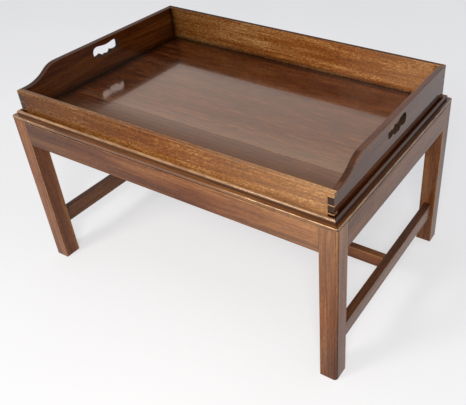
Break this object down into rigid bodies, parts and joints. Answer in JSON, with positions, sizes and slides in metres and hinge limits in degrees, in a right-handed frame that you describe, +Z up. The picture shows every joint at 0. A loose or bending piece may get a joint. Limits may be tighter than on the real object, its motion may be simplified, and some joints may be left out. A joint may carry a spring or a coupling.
{
  "type": "tray table",
  "caption": "Low wooden table: a dovetailed butler's tray with a low front, swept ends and pierced handholds, which lifts off a moulded stand with square legs and H stretchers.",
  "frame": {"origin": "on the floor, under the middle of the stand", "axes": "+X along the length, to the right seen from the low front board; +Y towards the high back board; +Z up"},
  "size_m": [0.892, 0.594, 0.5282],
  "materials": {
    "mahogany_stand": "reddish brown mahogany, French polished",
    "mahogany_rim": "reddish brown mahogany moulding, French polished",
    "mahogany_tray": "golden brown mahogany, French polished",
    "mahogany_floor": "dark red mahogany, polished to a gloss",
    "oak_inside": "plain oak, not polished",
    "steel_screw": "plain steel wood screws"
  },
  "bodies": {
    "stand": {"leg_front_left": "mahogany_stand", "leg_front_right": "mahogany_stand", "leg_back_right": "mahogany_stand", "leg_back_left": "mahogany_stand", "rail_front": "mahogany_stand", "rail_right": "mahogany_stand", "rail_back": "mahogany_stand", "rail_left": "mahogany_stand", "rim_front": "mahogany_rim", "rim_right": "mahogany_rim", "rim_back": "mahogany_rim", "rim_left": "mahogany_rim", "side_stretcher_left": "mahogany_stand", "side_stretcher_right": "mahogany_stand", "middle_stretcher": "mahogany_stand", "ledger_front": "oak_inside", "ledger_right": "oak_inside", "ledger_back": "oak_inside", "ledger_left": "oak_inside", "corner_brace_front_left": "oak_inside", "corner_brace_front_right": "oak_inside", "corner_brace_back_right": "oak_inside", "corner_brace_back_left": "oak_inside", "ledger_screw_1": "steel_screw", "ledger_screw_2": "steel_screw", "ledger_screw_3": "steel_screw", "ledger_screw_4": "steel_screw", "ledger_screw_5": "steel_screw", "ledger_screw_6": "steel_screw", "ledger_screw_7": "steel_screw", "ledger_screw_8": "steel_screw", "ledger_screw_9": "steel_screw", "ledger_screw_10": "steel_screw", "brace_screw_1": "steel_screw", "brace_screw_2": "steel_screw", "brace_screw_3": "steel_screw", "brace_screw_4": "steel_screw", "brace_screw_5": "steel_screw", "brace_screw_6": "steel_screw", "brace_screw_7": "steel_screw", "brace_screw_8": "steel_screw"},
    "tray": {"tray_front_board": "mahogany_tray", "tray_back_board": "mahogany_tray", "tray_end_left": "mahogany_tray", "tray_end_right": "mahogany_tray", "tray_floor_front": "mahogany_floor", "tray_floor_back": "mahogany_floor"}
  },
  "joints": [
    {"name": "tray_lift", "type": "slide", "parent": "stand", "child": "tray", "axis": [0, 0, 1], "range_m": [0, 0.1]}
  ]
}
